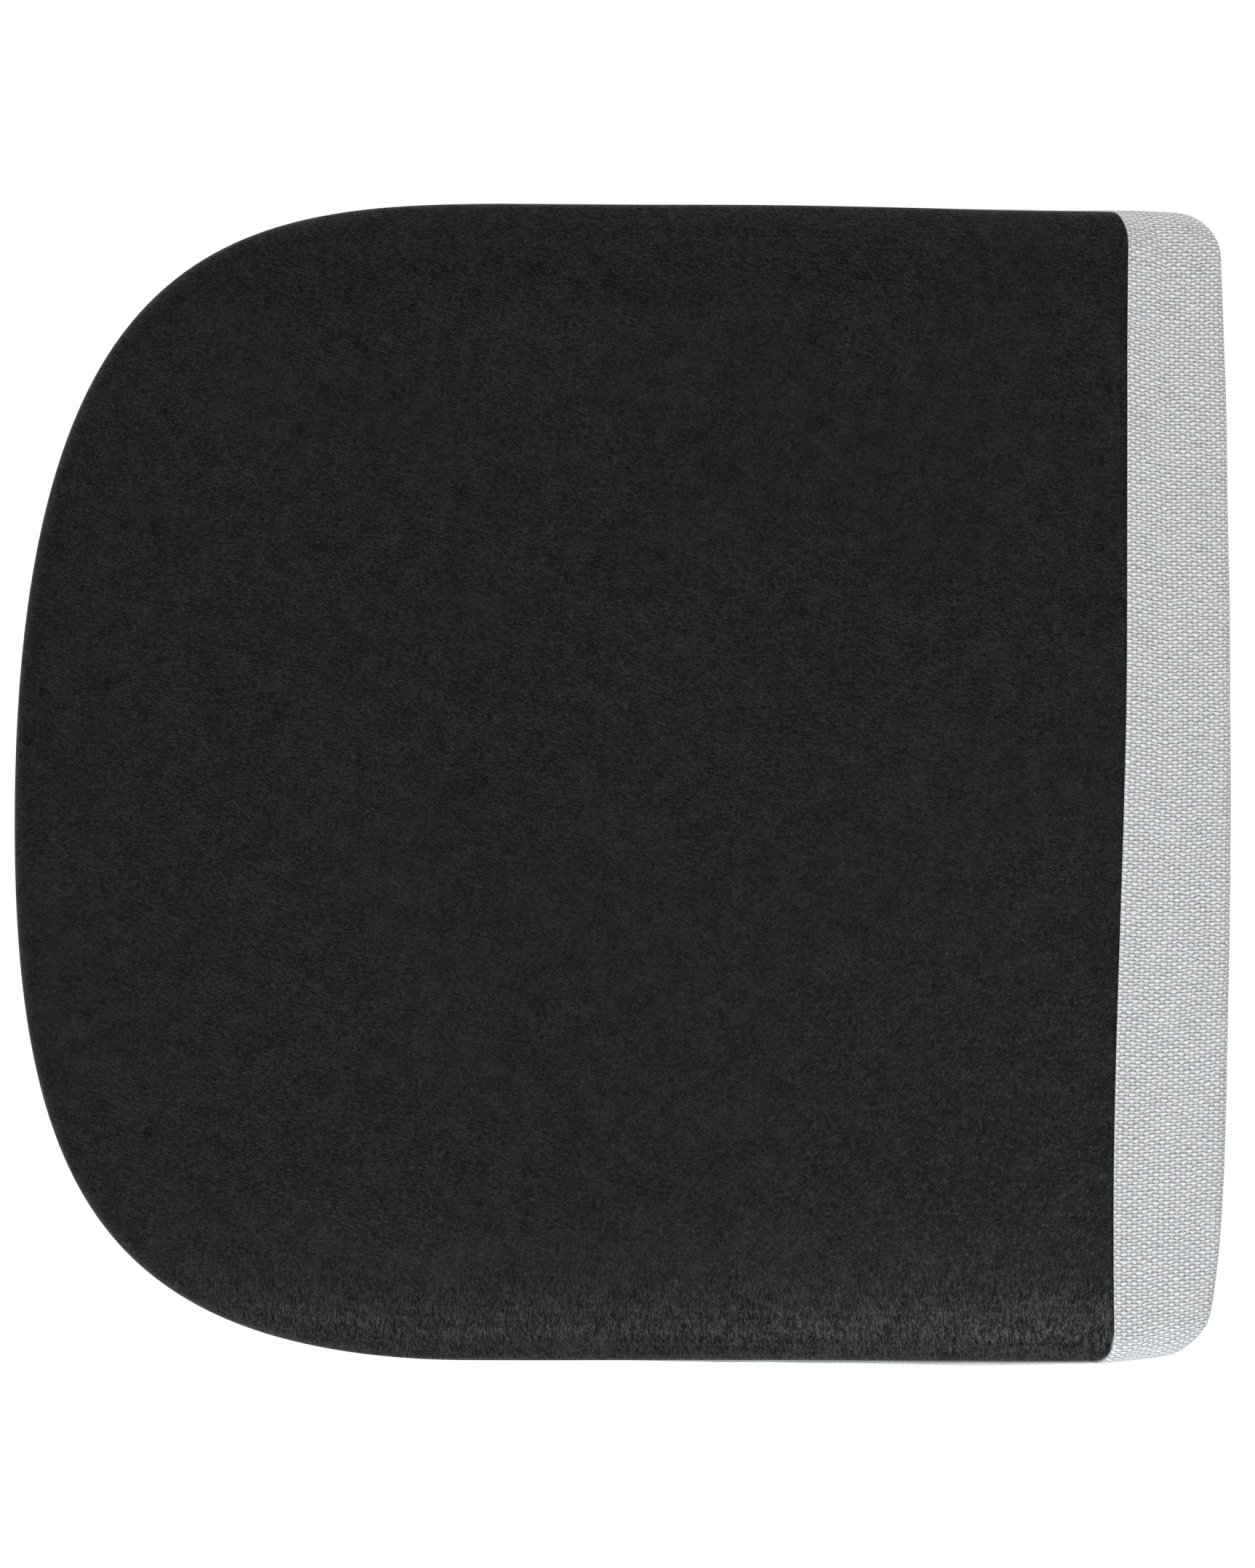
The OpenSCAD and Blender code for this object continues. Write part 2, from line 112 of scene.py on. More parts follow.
HEM_CORNER = 4 * MM        # smallest corner radius of the hem
PLEAT = 0.5 * MM           # height of the hem's folds
DUST_IN = 9 * MM
DUST_OFF = 0.4 * MM        # how far the dust cover lies off what is under it
DUST_EDGE = 0.35 * MM      # how far its cut edge drops
STAPLE_REACH = 4 * MM      # how far round a staple the dust cover is pulled down
SEAM_FLAT = 4 * MM         # how far before the seam the flat of the striking face ends
NOSE_BELLY = 0.2 * MM      # how far the canvas swells out round the round end
TAIL_BELLY = 1.1 * MM      # and towards the leaning end, where PINCH is added
SEAM_LEAN = 3.3 * MM       # how far the lower half of the seam wanders towards the round end
DISH = 3.0 * MM            # how far the striking face falls away before its rolled rim
DISH_FROM = 98 * MM        # distance from the middle where it begins to fall away
PINCH = 0.9 * MM           # how far the canvas bulges out past the black rim towards the leaning end
TOP_DROP = 1.6 * MM        # how far the top edge sinks towards the leaning end
TOP_LIFT = 0.7 * MM        # how much less the black cover sinks there than the canvas
DRAW = 17 * MM             # how far the pull on the leaning end's lower corner reaches
DRAW_IN = 4.2 * MM         # how far that corner is pulled towards the round end
DRAW_UP = 5.8 * MM         # and upwards
UNEVEN = 0.16 * MM         # how far stretched cloth strays from its even shape

TURN_DEPTH = (LEAN_OUT - TURN_R * (1 - math.sin(LEAN_ANGLE))) * math.tan(LEAN_ANGLE) \
    + TURN_R * math.cos(LEAN_ANGLE)
UPPER = np.array([[TIP_X, -TIP_DROP], [TIP_X, PAD_H / 2 - 2 * MM],
                  [TIP_X + 0.51 * NOSE_TOP, PAD_H / 2], [TIP_X + NOSE_TOP, PAD_H / 2]])
LOWER = np.array([[TIP_X + NOSE_LOW, -PAD_H / 2], [TIP_X + 0.2 * NOSE_LOW, -PAD_H / 2],
                  [TIP_X, -TIP_DROP - 0.67 * (PAD_H / 2 - TIP_DROP)], [TIP_X, -TIP_DROP]])

CURVE_STEPS = 60
EDGE_STEPS = 40
CORNER_STEPS = 10
END_STEPS = 60
END_MIDDLE = CURVE_STEPS + EDGE_STEPS + CORNER_STEPS + END_STEPS // 2


def mix(a, b, w):
    return a + (b - a) * w


def share(v, lo, hi):
    """0 up to lo, 1 from hi on, and straight in between."""
    return np.clip((v - lo) / (hi - lo), 0, 1)


def smooth(v, lo, hi):
    """0 at lo, 1 at hi, with soft ends."""
    t = share(v, lo, hi)
    return t * t * (3 - 2 * t)


def bezier(p, t):
    s = 1 - t
    return s ** 3 * p[0] + 3 * t * s * s * p[1] + 3 * t * t * s * p[2] + t ** 3 * p[3]


def bezier_way(p, t):
    """A vector along the curve at t."""
    s = 1 - t
    return s * s * (p[1] - p[0]) + 2 * t * s * (p[2] - p[1]) + t * t * (p[3] - p[2])


def outward(way):
    """Unit normals to the left of the way, which is outwards on a clockwise outline."""
    normal = np.stack([-way[:, 1], way[:, 0]], axis=1)
    return normal / np.linalg.norm(normal, axis=1)[:, None]


def top_at(x):
    return PAD_H / 2 - TOP_FALL * share(x, UPPER[3][0], END_X)


def low_at(x):
    return -PAD_H / 2 + LOW_RISE * share(x, LOWER[0][0], END_X)


def inset_at(x, nose_in, tail_in):
    """The inset changes from the round end's to the straight end's over the right half."""
    return mix(nose_in, tail_in, share(x, -10 * MM, 100 * MM))


def points(x, depth, z):
    return np.stack(np.broadcast_arrays(x, depth, z), axis=1).astype(float)


def curve_part(p, nose_in, tail_in, depth):
    """Points along one of the round end's two curves, moved inwards."""
    t = (np.arange(CURVE_STEPS) / CURVE_STEPS)[:, None]
    at = bezier(p, t)
    at = at - outward(bezier_way(p, t)) * inset_at(at[:, :1], nose_in, tail_in)
    return points(at[:, 0], depth, at[:, 1])


def ring(nose_in, tail_in, side_d, x, end_d, runs, drops, bow):
    """A closed ring (x, depth, z), clockwise from the tip of the round end as seen from the front.

    Its long sides lie at depth side_d, and its straight end at x and depth end_d, bulging by bow.
    Its upper and its lower corner each take up a run of the side and a drop of the end.
    """
    inset = inset_at(x, nose_in, tail_in)
    top = top_at(x) - inset
    low = low_at(x) + inset
    turn = np.linspace(0, math.pi / 2, CORNER_STEPS + 1)
    back = turn[::-1]
    along = np.linspace(UPPER[3][0], x - runs[0], EDGE_STEPS, endpoint=False)
    home = mix(x - runs[1], LOWER[0][0], np.arange(1, EDGE_STEPS + 1) / (EDGE_STEPS + 1))
    v = np.arange(1, END_STEPS) / END_STEPS
    return np.concatenate([
        curve_part(UPPER, nose_in, tail_in, side_d),
        points(along, side_d, top_at(along) - inset_at(along, nose_in, tail_in)),
        points(x - runs[0] * (1 - np.sin(turn)), mix(side_d, end_d, np.sin(turn)),
               top - drops[0] * (1 - np.cos(turn))),
        points(x + bow * 4 * v * (1 - v), end_d, mix(top - drops[0], low + drops[1], v)),
        points(x - runs[1] * (1 - np.sin(back)), mix(side_d, end_d, np.sin(back)),
               low + drops[1] * (1 - np.cos(back))),
        points(home, side_d, low_at(home) + inset_at(home, nose_in, tail_in)),
        curve_part(LOWER, nose_in, tail_in, side_d),
    ])


def side_inset(d, off):
    """Inset of the long sides at depth d, for a layer that lies off inside the covers."""
    if d >= RIM_R:
        return off
    return RIM_R - math.sqrt(max(0.0, (RIM_R - off) ** 2 - (RIM_R - d) ** 2))


def end_at(d, off):
    """Where the leaning end is at depth d: on its slope, on its turn, or behind the turn."""
    if d < TURN_DEPTH - (TURN_R - off) * math.cos(LEAN_ANGLE):
        return SEAM_X + d / math.tan(LEAN_ANGLE) - off / math.sin(LEAN_ANGLE)
    if d < TURN_DEPTH:
        return END_X - TURN_R + math.sqrt(max(0.0, (TURN_R - off) ** 2 - (d - TURN_DEPTH) ** 2))
    return END_X - off - WALL_SLOPE * (d - TURN_DEPTH)


def bow_at(d):
    """How far the middle of the leaning end bulges past its corners."""
    return END_BOW * share(d, 0, TURN_DEPTH)


def corner_at(d, full, off):
    """Radius of a corner of the leaning end, which grows with the depth from the seam's."""
    return max(LEAST_CORNER, mix(SEAM_CORNER, full, share(d, 0, CORNER_DEPTH)) - off)


def body_ring(d, off):
    """The pad's outline at depth d, for a layer that lies off inside the covers."""
    inset = side_inset(d, off)
    rounds = (corner_at(d, CORNER_TOP, off), corner_at(d, CORNER_LOW, off))
    return ring(inset, inset, d, end_at(d, off) - bow_at(d), d, rounds, rounds, bow_at(d))


def cut_corner(r, beyond):
    """What is left of a corner of radius r where it is cut off before its end: run and drop."""
    run = r - beyond
    if run <= LEAST_CUT:
        return LEAST_CUT, LEAST_CUT
    return run, LEAST_CUT + EXTRA_DROP * (r - math.sqrt(r * r - run * run))


def cut_ring(d, off, x):
    """A body ring that is cut off at x, inside the leaning end."""
    inset = side_inset(d, off)
    beyond = end_at(d, off) - bow_at(d) - x
    top = cut_corner(corner_at(d, CORNER_TOP, off), beyond)
    low = cut_corner(corner_at(d, CORNER_LOW, off), beyond)
    return ring(inset, inset, d, x, d, (top[0], low[0]), (top[1], low[1]), 0)


def settle(p):
    """Moves points of any soft layer to where the filled pad holds them.

    The seam wanders on its lower half, the face falls away towards its long edges, and the lower
    corner of the leaning end is drawn in.
    """
    x, d, z = p.T
    deep = smooth(d, 2 * MM, 20 * MM)
    from_low = np.maximum(0, z - low_at(x))
    from_end = np.maximum(0, END_X - x)
    draw_in = DRAW_IN * np.exp(-from_low / DRAW) * np.exp(-from_end / (1.5 * DRAW))
    draw_up = DRAW_UP * np.exp(-from_end / (1.3 * DRAW)) * np.exp(-from_low / (2 * DRAW))
    lean = -SEAM_LEAN * (1 - smooth(z, -110 * MM, 40 * MM)) * smooth(x, SEAM_X - 70 * MM, SEAM_X - 2 * MM)
    beyond = np.maximum(0, (np.abs(z) - DISH_FROM) / (PAD_H / 2 - RIM_R - DISH_FROM))
    sink = TOP_DROP * smooth(x, 20 * MM, 120 * MM) * smooth(z, 90 * MM, PAD_H / 2)
    return points(x + lean * (1 - smooth(d, 0, TURN_DEPTH)) - draw_in * deep,
                  d + DISH * np.minimum(beyond, 1.15) ** 3 * (1 - smooth(d, 0, 25 * MM)),
                  z + draw_up * deep - sink)


# ---- Meshes ----

def to_row_frame(p):
    """From x, depth and height on the pad to the CAD frame."""
    return p + np.array([0, FACE_Y, PAD_Z])


def new_piece(name, verts, faces, body="pad"):
    mesh = bpy.data.meshes.new(name)
    mesh.from_pydata([tuple(v) for v in verts], [], faces)
    mesh.polygons.foreach_set("use_smooth", [True] * len(mesh.polygons))
    mesh.update()
    piece = bpy.data.objects.new(name, mesh)
    bpy.context.scene.collection.objects.link(piece)
    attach(piece, body)
    return piece


def piece_from_rows(name, rows, loop=False, first_cap=True):
    """Skin over rings of points. A loop joins the last ring to the first, else the ends are capped."""
    count, n = len(rows), len(rows[0])
    verts = list(to_row_frame(np.concatenate(rows)))
    faces = []
    for k in range(count if loop else count - 1):
        a, b = k * n, (k + 1) % count * n
        for i in range(n):
            j = (i + 1) % n
            faces.append((a + i, a + j, b + j, b + i))
    if not loop:
        ends = [(0, False)] * first_cap + [(count - 1, True)]
        for row, last in ends:
            pole = len(verts)
            verts.append(to_row_frame(rows[row].mean(axis=0)))
            for i in range(n):
                a, b = row * n + i, row * n + (i + 1) % n
                faces.append((a, b, pole) if last else (b, a, pole))
    return new_piece(name, verts, faces)


def paint(piece, name, values):
    """Stores one value per point of the rings; the cap's poles take the mean of their ring."""
    flat = np.concatenate(values)
    spare = len(piece.data.vertices) - len(flat)
    poles = [values[0].mean(), values[-1].mean()][:spare]
    attribute = piece.data.attributes.new(name, "FLOAT", "POINT")
    attribute.data.foreach_set("value", np.concatenate([flat, poles]).astype(np.float32))


def lay_cloth_uv(piece, rows, loop, blend):
    """UV in metres: along the ring from the middle of the straight end, and across the rings."""
    stack = np.array(rows)
    round_it = np.concatenate([stack, stack[:, :1]], axis=1)
    step = np.linalg.norm(np.diff(round_it, axis=1), axis=2)
    along = np.concatenate([np.zeros((len(rows), 1)), np.cumsum(step, axis=1)], axis=1)
    along = along - along[:, END_MIDDLE:END_MIDDLE + 1]
    along = mix(along, along[len(rows) // 3], blend)
    rise = np.linalg.norm(np.diff(round_it, axis=0), axis=2)
    across = np.concatenate([np.zeros((1, round_it.shape[1])), np.cumsum(rise, axis=0)])
    layer = piece.data.uv_layers.new(name="cloth")
    n = len(rows[0])
    values = []
    for face in piece.data.polygons:
        k, i = divmod(face.index, n)
        if k >= len(rows) - (0 if loop else 1):
            values += [0.0, 0.0] * face.loop_total
            continue
        m = (k + 1) % len(rows)
        for row, column in ((k, i), (k, i + 1), (m, i + 1), (m, i)):
            values += [along[row, column], across[row, column]]
    layer.data.foreach_set("uv", values)


def wobble(p, size, seed):
    """Smooth made-up unevenness between -1 and 1, with features of the given size."""
    total = 0
    for k in range(4):
        turn = seed * 1.7 + k * 2.399
        wave = p[:, 0] * math.cos(turn) + p[:, 2] * math.sin(turn) + 0.6 * p[:, 1]
        total = total + np.sin(wave * (2 * math.pi / size) * (1 + 0.23 * k) + seed * 3.1 + k * 1.9)
    return total / 4


# ---- Black striking cover ----

def cover_ring(a, off):
    """A ring of the black cover at angle a round its rim."""
    r = RIM_R - off
    inset = RIM_R - r * math.sin(a)
    reach = max(MM, r * math.sin(a))
    x = SEAM_X - SEAM_FLAT * (1 - a / (math.pi / 2))
    return ring(inset, inset, RIM_R - r * math.cos(a), x, off,
                (SEAM_CORNER, SEAM_STRETCH * SEAM_CORNER), (reach, reach), 0)


def cover_shape(p):
    """The settled cover, with a face that is slightly uneven."""
    flat = 1 - smooth(p[:, 1], 2 * MM, 6 * MM)
    p = settle(p)
    lift = PINCH * smooth(p[:, 0], -50 * MM, 60 * MM) * smooth(-p[:, 2], 90 * MM, PAD_H / 2)
    lift += TOP_LIFT * smooth(p[:, 0], 0, 90 * MM) * smooth(p[:, 2], 110 * MM, PAD_H / 2)
    p[:, 2] += lift
    p[:, 1] += flat * 0.18 * MM * (1 + wobble(p, 120 * MM, 1) + 0.5 * wobble(p, 45 * MM, 2))
    return p


def cover_fold():
    """Rings of the cut edge, which turns inwards in a half circle as thick as the cloth."""
    rings = []
    for k in range(1, 5):
        a = k * math.pi / 5
        row = cover_ring(math.pi / 2, FACE_T / 2 * (1 - math.cos(a)))
        row[:, 1] += FACE_T / 2 * math.sin(a) * (1 - smooth(row[:, 0], SEAM_X - 9 * MM, SEAM_X - 3 * MM))
        rings.append(row)
    return rings


def rim_values(row, turned):
    """How far the points of a ring have turned over the rim, which they haven't along the seam."""
    at_seam = smooth(row[:, 0], SEAM_X - 9 * MM, SEAM_X - 6 * MM)
    off_corner = smooth(PAD_H / 2 - np.abs(row[:, 2]), 4 * MM, 12 * MM)
    return turned * (1 - at_seam * off_corner)


def make_face_cover():
    rim = [k * math.pi / 2 / 14 for k in range(15)]
    hub = np.array([(TIP_X + SEAM_X) / 2, 0, 0])
    flat = [mix(hub, cover_ring(0, 0), s) for s in np.linspace(0.04, 0.98, 34)]
    outer = [cover_ring(a, 0) for a in rim]
    under = [cover_ring(a, FACE_T) for a in reversed(rim)]
    inner_hub = hub + np.array([0, FACE_T, 0])
    inside = [mix(inner_hub, cover_ring(0, FACE_T), s) for s in (0.85, 0.6, 0.3, 0.05)]
    rows = [cover_shape(r) for r in flat + outer + cover_fold() + under + inside]
    piece = piece_from_rows("face_skin", rows)
    turned = [0.0] * len(flat) + [a / (math.pi / 2) for a in rim]
    turned += [1.0] * (len(rows) - len(turned))
    paint(piece, "rim", [rim_values(row, t) for row, t in zip(rows, turned)])
    return piece


# ---- Canvas gusset ----

SIDE_DEPTHS = np.array([11.4, 13.4, 16.4, 19.4, 26, 30]) * MM
END_DEPTHS = np.array([3, 8, 14, 20, 27, 30]) * MM


def canvas_inset(d, belly):
    """The canvas starts under the rim, swells out behind it and draws in before it turns."""
    swell = math.sin(math.pi * share(d, RIM_R, PAD_T))
    return UNDER_RIM - belly * swell + 1.1 * HEM_TURN * share(d, PAD_T - HEM_TURN, PAD_T)


def canvas_ring(side_d, end_d, off):
    """A ring of the canvas, at depth side_d along the sides and end_d at the leaning end."""
    rounds = (corner_at(end_d, CORNER_TOP, off), corner_at(end_d, CORNER_LOW, off))
    short = max(0.0, RIM_R - end_d) * 0.35
    drops = (rounds[0] + short, rounds[1] + short)
    nose_in = canvas_inset(side_d, NOSE_BELLY) + off
    tail_in = canvas_inset(side_d, TAIL_BELLY + PINCH) + off
    bow = bow_at(end_d)
    return ring(nose_in, tail_in, side_d, end_at(end_d, off) - bow, end_d, rounds, drops, bow)


def canvas_front(off):
    """Where the canvas starts: under the black rim on the sides and beside it at the seam."""
    reach = RIM_R - off
    return ring(UNDER_RIM + off, UNDER_RIM + off, RIM_R + 0.9 * MM, SEAM_X + 0.2 * MM, off + SEAM_SINK,
                (SEAM_CORNER, SEAM_STRETCH * SEAM_CORNER), (reach, reach), 0)


def hem_ring(d, inset):
    """A ring of the canvas behind the board, this far in from its edge."""
    rounds = (max(HEM_CORNER, CORNER_TOP - inset), max(HEM_CORNER, CORNER_LOW - inset))
    x = END_X - inset - WALL_SLOPE * (PAD_T - TURN_DEPTH) - END_BOW
    return ring(inset, inset, d, x, d, rounds, rounds, END_BOW)


def pleats(p, inset):
    """Height of the hem's folds: many round the curved end, few on the straight edges."""
    way = np.arctan2(p[:, 2], p[:, 0] - 40 * MM)
    saw = np.abs(np.sin(way * 17 + 0.8 * np.sin(way * 5)))
    curved = 1 - smooth(p[:, 0], -90 * MM, 0)
    return PLEAT * smooth(inset, 3 * MM, HEM_W) * curved * saw ** 3


def gusset_shape(p):
    """The settled gusset, with a wall of cloth that is slightly uneven."""
    p = settle(p)
    wall = smooth(p[:, 1], 4 * MM, 16 * MM) * (1 - smooth(p[:, 1], 38 * MM, 47 * MM))
    away = points(p[:, 0] * 0.6, 0 * p[:, 0], p[:, 2])
    away = away / np.linalg.norm(away, axis=1)[:, None]
    stray = UNEVEN * (wobble(p, 60 * MM, 3) + 0.6 * wobble(p, 22 * MM, 4))
    return p + away * (wall * stray)[:, None]


def gusset_depths():
    """Depth of each canvas ring along the sides and at the leaning end, where the canvas starts first."""
    ends = np.concatenate([np.linspace(0.6, 28, 20), np.linspace(28.6, TURN_DEPTH / MM + 0.6, 12),
                           np.linspace(36, 48, 8)]) * MM
    turn = TURN_DEPTH + 2 * MM
    sides = np.interp(ends, np.append(END_DEPTHS, TURN_DEPTH), np.append(SIDE_DEPTHS, turn))
    behind = mix(turn, PAD_T - HEM_TURN, (ends - TURN_DEPTH) / (PAD_T - HEM_TURN - TURN_DEPTH))
    sides = np.where(ends > TURN_DEPTH, np.maximum(sides, behind), sides)
    return list(zip(sides, ends))


def hem_rings():
    """The canvas turns round the board's back edge and runs inwards as a pleated hem."""
    rings = []
    for k in range(1, 6):
        a = k * math.pi / 2 / 6
        rings.append(hem_ring(PAD_T - HEM_TURN * (1 - math.sin(a)), HEM_TURN * (1 - math.cos(a))))
    for inset in np.linspace(HEM_TURN, HEM_W, 12):
        row = hem_ring(PAD_T, inset)
        row[:, 1] += pleats(row, inset)
        rings.append(row)
    return rings


def make_gusset():
    depths = gusset_depths()
    outer = [canvas_front(0)] + [canvas_ring(s, e, 0) for s, e in depths]
    under = [hem_ring(PAD_T - CANVAS_T, i) for i in (HEM_W, HEM_TURN + CANVAS_T)]
    inner = [canvas_ring(s, e, CANVAS_T) for s, e in depths[::-4]]
    inner.append(canvas_front(CANVAS_T))
    rows = [gusset_shape(r) for r in outer + hem_rings() + under + inner]
    piece = piece_from_rows("gusset_skin", rows, loop=True)
    lay_cloth_uv(piece, rows, loop=True, blend=0.35)
    return piece


# ---- Dust cover ----

def back_ring(inset, d):
    """The outline of the pad's back, inset and laid at depth d."""
    row = body_ring(PAD_T, inset)
    row[:, 1] = d
    return row


def near_staples(p):
    """1 at a staple of the dust cover, falling to 0 a few millimetres away."""
    node = frame["nodes"]["dust_cover_staples"]
    wires = np.array([node.matrix_world @ v.co for v in node.data.vertices])[:, [0, 2]]
    at = to_row_frame(p)[:, [0, 2]]
    gap = np.linalg.norm(at[:, None] - wires[None], axis=2).min(axis=1)
    return np.exp(-(gap / STAPLE_REACH) ** 2)


def make_dust_cover():
    """A thin cloth stretched over the back: it steps down from the hem onto the board."""
    over = PAD_T + DUST_OFF
    board = PAD_T - CANVAS_T + DUST_OFF
    insets = np.concatenate([np.linspace(DUST_IN, HEM_W - MM, 12), np.linspace(HEM_W, HEM_W + 6 * MM, 8),
                             np.linspace(HEM_W + 8 * MM, HEM_W + 20 * MM, 6)])
    rows = []
    for inset in insets:
        fall = smooth(inset, HEM_W - MM, HEM_W + 5 * MM)
        row = back_ring(inset, mix(over, board, fall))
        pull = near_staples(row)
        slack = (1 - pull) * math.exp(-(inset - DUST_IN) / (12 * MM))
        row[:, 1] += pleats(row, inset) * (1 - fall) + 0.45 * MM * slack - 0.25 * MM * pull
        rows.append(row)
    hub = np.array([0, board, 0])
    rows += [mix(hub, rows[-1], s) for s in np.linspace(0.96, 0.03, 28)]
    for row in rows:
        row[:, 1] += UNEVEN * (wobble(row, 70 * MM, 5) + 0.5 * wobble(row, 24 * MM, 9))
    tucked = rows[0] - np.array([0, DUST_EDGE, 0])
    piece = piece_from_rows("dust_skin", [tucked] + rows, first_cap=False)
    return piece


# ---- Foams and wadding inside ----

def make_inner(name, node, rings):
    piece = piece_from_rows(name, [settle(r) for r in rings])
    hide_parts(node)
    return piece


def roughen(row, size, depth, seed):
    """Pulls cut foam in by a small uneven amount, so that it never grows."""
    hub = np.array([0, row[:, 1].mean(), 0])
    away = row - hub
    away[:, 1] = 0
    away = away / (np.linalg.norm(away, axis=1)[:, None] + 1e-9)
    return row - away * (depth * (0.5 + 0.5 * wobble(row, size, seed)))[:, None]


FOAM_OFF = core_lo[1] - FACE_Y
FOAM_JOINT = core_hi[1] - FACE_Y
FOAM_BACK = base_hi[1] - FACE_Y


def make_core():
    depths = np.concatenate([FOAM_OFF + np.array([0, 0.3, 0.8, 1.6, 2.8]) * MM,
                             np.linspace(RIM_R, FOAM_JOINT, 8)])
    rows = [roughen(cut_ring(d, FOAM_OFF, STRIP_X), 9 * MM, 0.3 * MM, 6) for d in depths]
    return make_inner("core_foam_skin", "core_foam", rows)


def make_base():
    depths = np.linspace(base_lo[1] - FACE_Y, FOAM_BACK, 8)
    rows = [roughen(cut_ring(d, FOAM_OFF, STRIP_X), 14 * MM, 0.25 * MM, 7) for d in depths]
    return make_inner("base_foam_skin", "base_foam", rows)


def strip_ring(d):
    """A ring of the wedge of foam behind the leaning end."""
    off = FOAM_OFF
    near = strip_lo[0]
    x = end_at(d, off) - bow_at(d)
    top = top_at(x) - side_inset(d, off)
    low = low_at(x) + side_inset(d, off)
    corners = []
    for full in (CORNER_TOP, CORNER_LOW):
        r = corner_at(d, full, off)
        first = math.asin(min(1.0, max(0.0, 1 - (x - near) / r)))
        a = np.linspace(first, math.pi / 2, CORNER_STEPS + 1)
        corners.append((x - r * (1 - np.sin(a)), r * (1 - np.cos(a))))
    upper, lower = corners
    v = np.arange(1, END_STEPS) / END_STEPS
    home = np.linspace(low + lower[1][0], top - upper[1][0], EDGE_STEPS + 2)[1:-1]
    return np.concatenate([
        points(upper[0], d, top - upper[1]),
        points(x + bow_at(d) * 4 * v * (1 - v), d, mix(top - upper[1][-1], low + lower[1][-1], v)),
        points(lower[0][::-1], d, low + lower[1][::-1]),
        points(np.full(len(home), near), d, home),
    ])


def make_strip():
    depths = np.concatenate([np.linspace(strip_lo[1] - FACE_Y, TURN_DEPTH, 14),
                             np.linspace(TURN_DEPTH + MM, FOAM_BACK, 3)])
    return make_inner("bevel_strip_skin", "bevel_strip", [strip_ring(d) for d in depths])


def make_wadding():
    wad_lo, wad_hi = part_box("wadding")
    off = wad_lo[1] - FACE_Y
    deep = wad_hi[1] - FACE_Y
    thick = 2.5 * MM
    rim = np.array([0, 0.2, 0.6, 1.2, 2.2, 4]) * MM
    skirt = np.concatenate([np.linspace(RIM_R, TURN_DEPTH, 12), [deep]])
    outer = [roughen(body_ring(d, off), 7 * MM, 0.3 * MM, 8) for d in np.concatenate([off + rim, skirt])]
    inner = [body_ring(d, off + thick) for d in np.concatenate([off + thick + rim[:5], skirt])[::-1]]
    return make_inner("wadding_skin", "wadding", outer + inner)


# ---- Materials ----

BRUSHED_Z = -139 * MM      # height from the pad's middle below which fibres are brushed over the rim
STIR = 0.6 * MM            # how far the fibres wander

class Shader:
    """A material whose nodes are added by short calls."""

    def __init__(self, name):
        self.material = bpy.data.materials.new(name)
        self.material.use_nodes = True
        self.tree = self.material.node_tree
        self.surface = self.tree.nodes["Principled BSDF"]

    def add(self, kind, inputs=None, **settings):
        node = self.tree.nodes.new("ShaderNode" + kind)
        for key, value in settings.items():
            setattr(node, key, value)
        for key, value in (inputs or {}).items():
            self.put(node.inputs[key], value)
        return node

    def put(self, socket, value):
        if isinstance(value, bpy.types.NodeSocket):
            self.tree.links.new(value, socket)
        else:
            socket.default_value = value

    def maths(self, operation, *values):
        return self.add("Math", dict(enumerate(values)), operation=operation).outputs[0]

    def place(self, scale=(1, 1, 1), turn=0.0):
        """The piece's own coordinates in metres, turned about Y and scaled."""
        at = self.add("TexCoord").outputs["Object"]
        turned = self.add("Mapping", {"Vector": at, "Rotation": (0, turn, 0)}).outputs[0]
        return self.add("VectorMath", {0: turned, 1: scale}, operation="MULTIPLY").outputs[0]

    def noise(self, at, scale=1.0, detail=2.0, roughness=0.5):
        facts = {"Vector": at, "Scale": scale, "Detail": detail, "Roughness": roughness}
        return self.add("TexNoise", facts).outputs["Fac"]

    def spread(self, value, lo, hi, to_lo=0.0, to_hi=1.0):
        facts = {"Value": value, "From Min": lo, "From Max": hi, "To Min": to_lo, "To Max": to_hi}
        return self.add("MapRange", facts).outputs[0]

    def colour(self, fac, a, b):
        node = self.add("Mix", data_type="RGBA")
        self.put(node.inputs[0], fac)
        self.put(node.inputs[6], a)
        self.put(node.inputs[7], b)
        return node.outputs[2]

    def between(self, fac, a, b):
        node = self.add("Mix", data_type="FLOAT")
        for socket, value in zip((node.inputs[0], node.inputs[2], node.inputs[3]), (fac, a, b)):
            self.put(socket, value)
        return node.outputs[0]

    def bump(self, height, distance, strength=1.0):
        facts = {"Height": height, "Distance": distance, "Strength": strength}
        return self.add("Bump", facts).outputs[0]

    def finish(self, **values):
        for key, value in values.items():
            self.put(self.surface.inputs[key.replace("_", " ")], value)
        return self.material


def grey(v, warm=1.0, cool=1.0):
    return (v * warm, v, v * cool, 1)


def strands(s, turn, across=2500, along=420, width=0.05):
    """Thin bright lines where a stretched and stirred noise crosses its middle value.

    The noise has across features to a metre across the strands, and along features along them.
    """
    stir = s.add("TexNoise", {"Vector": s.place(), "Scale": 450.0, "Detail": 1.0}).outputs["Color"]
    stir = s.add("VectorMath", {0: stir, 1: (STIR, STIR, STIR)}, operation="MULTIPLY").outputs[0]
    at = s.add("VectorMath", {0: s.place(turn=turn), 1: stir}, operation="ADD").outputs[0]
    at = s.add("VectorMath", {0: at, 1: (across, along, along)}, operation="MULTIPLY").outputs[0]
    off = s.maths("ABSOLUTE", s.maths("SUBTRACT", s.noise(at, detail=2, roughness=0.6), 0.5))
    return s.spread(off, 0.0, width, 1.0, 0.0)


